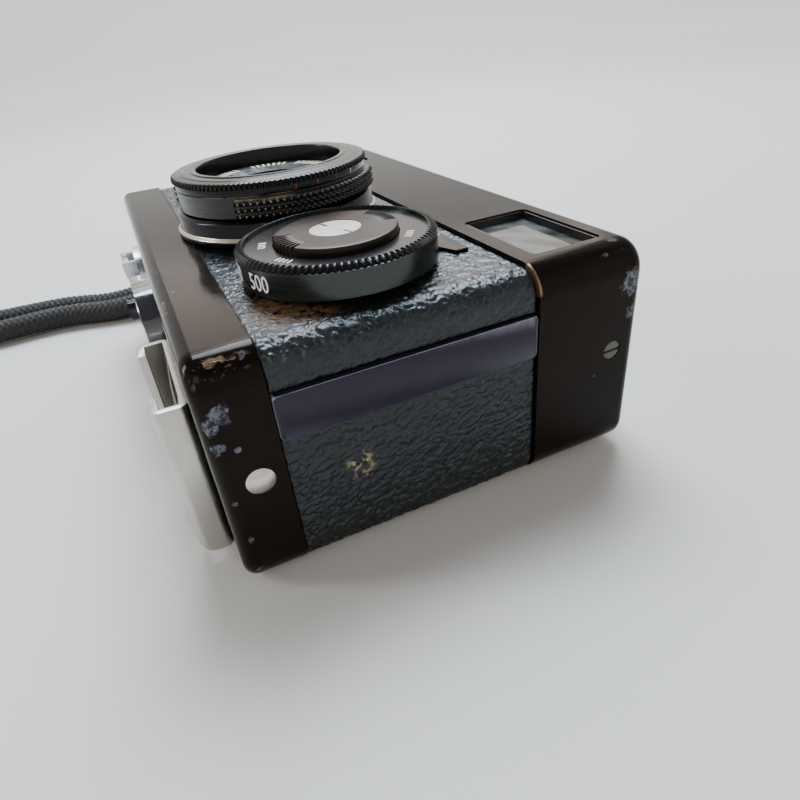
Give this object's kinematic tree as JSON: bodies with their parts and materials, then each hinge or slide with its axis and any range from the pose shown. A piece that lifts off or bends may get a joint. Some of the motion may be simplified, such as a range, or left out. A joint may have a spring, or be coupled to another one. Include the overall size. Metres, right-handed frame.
{
  "type": "compact 35 mm viewfinder camera",
  "caption": "Black compact 35 mm film camera with collapsible lens barrel, twin front dials, underside accessory shoe and rewind crank, sliding back and wrist cord.",
  "frame": {"origin": "on the back's rest plane, at the centre of the body outline", "axes": "+Z along the lens axis, away from the back; +Y towards the top plate; +X towards the end with the advance lever (the holder's left)"},
  "size_m": [0.1215, 0.123, 0.0415],
  "materials": {
    "black_enamel": "gloss",
    "frame_casting": "matt",
    "leatherette": "grained",
    "rail_satin": "satin",
    "black_anodised": "satin",
    "bright_steel": "satin",
    "bright_chrome": "polished",
    "brass": "turned",
    "black_plastic": "gloss",
    "white_plastic": "matt",
    "blade_steel": "satin",
    "window_glass": "clear",
    "cell_face": "matt",
    "battery_can": "satin",
    "braided_cord": "woven"
  },
  "bodies": {
    "camera_body": {"main_frame": "frame_casting", "top_cap": "black_enamel", "front_leatherette": "leatherette", "side_rails": "rail_satin", "cap_side_screws": "bright_steel", "viewfinder_housing": "black_plastic", "viewfinder_bezel": "black_plastic", "viewfinder_front_window": "window_glass", "eyepiece_lens": "window_glass", "shutter_button_collar": "bright_chrome", "meter_movement": "frame_casting", "meter_window": "window_glass", "light_cell": "cell_face", "light_cell_window": "window_glass", "battery": "battery_can", "dial_posts": "bright_steel", "index_plates": "black_anodised", "lens_collar": "black_anodised", "guide_sleeve": "brass", "strap_lug": "black_enamel", "wrist_strap": "braided_cord"},
    "back": {"back_shell": "frame_casting", "back_leatherette": "leatherette", "bottom_cap": "black_enamel", "cap_rivets": "bright_steel", "hot_shoe": "bright_steel", "shoe_spring": "bright_steel", "shoe_contact": "brass", "tripod_bush": "bright_steel", "counter_window": "window_glass"},
    "lock_key": {"lock_key": "black_plastic"},
    "rewind": {"rewind_hub": "bright_steel"},
    "crank": {"crank_arm": "bright_steel"},
    "crank_knob": {"crank_knob": "black_plastic"},
    "lens_barrel": {"barrel_tube": "black_anodised", "grip_ring": "black_anodised", "shutter_housing": "black_anodised", "rear_cell": "black_anodised", "rear_element": "window_glass"},
    "focus_ring": {"focus_ring": "black_anodised"},
    "front_cell": {"front_cell": "black_anodised", "front_element": "window_glass", "name_ring": "black_anodised"},
    "shutter_blade_left": {"shutter_blade_left": "blade_steel"},
    "shutter_blade_right": {"shutter_blade_right": "blade_steel"},
    "speed_dial": {"speed_dial": "black_anodised"},
    "film_type_disc": {"film_type_disc": "black_anodised"},
    "aperture_dial": {"aperture_dial": "black_anodised"},
    "film_speed_disc": {"film_speed_disc": "black_anodised"},
    "shutter_button": {"shutter_button": "bright_chrome"},
    "lens_release_button": {"lens_release_button": "bright_chrome"},
    "advance_lever": {"advance_lever": "bright_chrome", "winding_gear": "brass"},
    "film_sprocket": {"film_sprocket": "bright_steel", "sprocket_gears": "brass"},
    "take_up_spool": {"take_up_spool": "bright_steel"},
    "counter_disc": {"counter_disc": "white_plastic"},
    "pressure_plate": {"pressure_plate": "bright_steel"},
    "meter_needle": {"meter_needle": "blade_steel"},
    "meter_pointer": {"meter_pointer": "blade_steel"}
  },
  "joints": [
    {"name": "back_slide", "type": "slide", "parent": "camera_body", "child": "back", "axis": [0, -1, 0], "range_m": [0, 0.062]},
    {"name": "lock_turn", "type": "hinge", "parent": "back", "child": "lock_key", "pos_m": [-0.008, -0.03, 0.014], "axis": [0, -1, 0], "range_deg": [0, 180]},
    {"name": "rewind_spin", "type": "hinge", "parent": "back", "child": "rewind", "pos_m": [-0.033, -0.03, 0.0152], "axis": [0, 1, 0], "continuous": true},
    {"name": "crank_fold", "type": "hinge", "parent": "rewind", "child": "crank", "pos_m": [-0.033, -0.0332, 0.0201], "axis": [-1, 0, 0], "range_deg": [0, 170]},
    {"name": "crank_knob_spin", "type": "hinge", "parent": "crank", "child": "crank_knob", "pos_m": [-0.033, -0.033, 0.01], "axis": [0, 1, 0], "continuous": true},
    {"name": "lens_extend", "type": "slide", "parent": "camera_body", "child": "lens_barrel", "axis": [0, 0, 1], "range_m": [0, 0.0185]},
    {"name": "focus_turn", "type": "hinge", "parent": "lens_barrel", "child": "focus_ring", "pos_m": [0, -0.0062, 0.04], "axis": [0, 0, 1], "range_deg": [0, 240]},
    {"name": "front_cell_travel", "type": "slide", "parent": "focus_ring", "child": "front_cell", "axis": [0, 0, 1], "range_m": [0, 0.0009]},
    {"name": "shutter_blade_left_swing", "type": "hinge", "parent": "lens_barrel", "child": "shutter_blade_left", "pos_m": [0, 0.0036, 0.027], "axis": [0, 0, -1], "range_deg": [0, 30]},
    {"name": "shutter_blade_right_swing", "type": "hinge", "parent": "lens_barrel", "child": "shutter_blade_right", "pos_m": [0, -0.016, 0.0274], "axis": [0, 0, -1], "range_deg": [0, 30]},
    {"name": "speed_dial_turn", "type": "hinge", "parent": "camera_body", "child": "speed_dial", "pos_m": [0.0305, -0.0062, 0.034], "axis": [0, 0, 1], "range_deg": [-120, 150]},
    {"name": "film_type_turn", "type": "hinge", "parent": "speed_dial", "child": "film_type_disc", "pos_m": [0.0305, -0.0062, 0.036], "axis": [0, 0, 1], "range_deg": [-90, 180]},
    {"name": "aperture_dial_turn", "type": "hinge", "parent": "camera_body", "child": "aperture_dial", "pos_m": [-0.0305, -0.0062, 0.034], "axis": [0, 0, 1], "range_deg": [-60, 75]},
    {"name": "film_speed_turn", "type": "hinge", "parent": "aperture_dial", "child": "film_speed_disc", "pos_m": [-0.0305, -0.0062, 0.036], "axis": [0, 0, 1], "range_deg": [-110, 110]},
    {"name": "shutter_press", "type": "slide", "parent": "camera_body", "child": "shutter_button", "axis": [0, -1, 0], "range_m": [0, 0.0015], "stiffness_N_per_m": 300},
    {"name": "lens_release_press", "type": "slide", "parent": "camera_body", "child": "lens_release_button", "axis": [0, -1, 0], "range_m": [0, 0.001], "stiffness_N_per_m": 300},
    {"name": "lever_swing", "type": "hinge", "parent": "camera_body", "child": "advance_lever", "pos_m": [0.0363, 0.031, 0.01604], "axis": [0, -1, 0], "range_deg": [0, 120]},
    {"name": "sprocket_turn", "type": "hinge", "parent": "camera_body", "child": "film_sprocket", "pos_m": [0.025, 0, 0.012], "axis": [0, 1, 0], "range_deg": [0, 361]},
    {"name": "spool_turn", "type": "hinge", "parent": "camera_body", "child": "take_up_spool", "pos_m": [0.0375, 0, 0.012], "axis": [0, -1, 0], "range_deg": [0, 361]},
    {"name": "counter_turn", "type": "hinge", "parent": "camera_body", "child": "counter_disc", "pos_m": [0.012, -0.028, 0.0145], "axis": [0, 1, 0], "range_deg": [0, 324]},
    {"name": "pressure_plate_hinge", "type": "hinge", "parent": "camera_body", "child": "pressure_plate", "pos_m": [0, -0.0228, 0.0048], "axis": [-1, 0, 0], "range_deg": [0, 3]},
    {"name": "meter_needle_swing", "type": "hinge", "parent": "camera_body", "child": "meter_needle", "pos_m": [0.003, 0.0265, 0.01], "axis": [0, 1, 0], "range_deg": [-20, 20]},
    {"name": "meter_pointer_swing", "type": "hinge", "parent": "camera_body", "child": "meter_pointer", "pos_m": [0.003, 0.0272, 0.01], "axis": [0, 1, 0], "range_deg": [-20, 20]}
  ],
  "couplings": [
    {"joint": "front_cell_travel", "follows": "focus_turn", "m_per_rad": 0.00021271},
    {"joint": "shutter_blade_right_swing", "follows": "shutter_blade_left_swing", "ratio": 1},
    {"joint": "sprocket_turn", "follows": "lever_swing", "ratio": 3},
    {"joint": "spool_turn", "follows": "lever_swing", "ratio": 3},
    {"joint": "counter_turn", "follows": "lever_swing", "ratio": 0.075},
    {"joint": "meter_pointer_swing", "follows": "aperture_dial_turn", "ratio": 0.2}
  ]
}
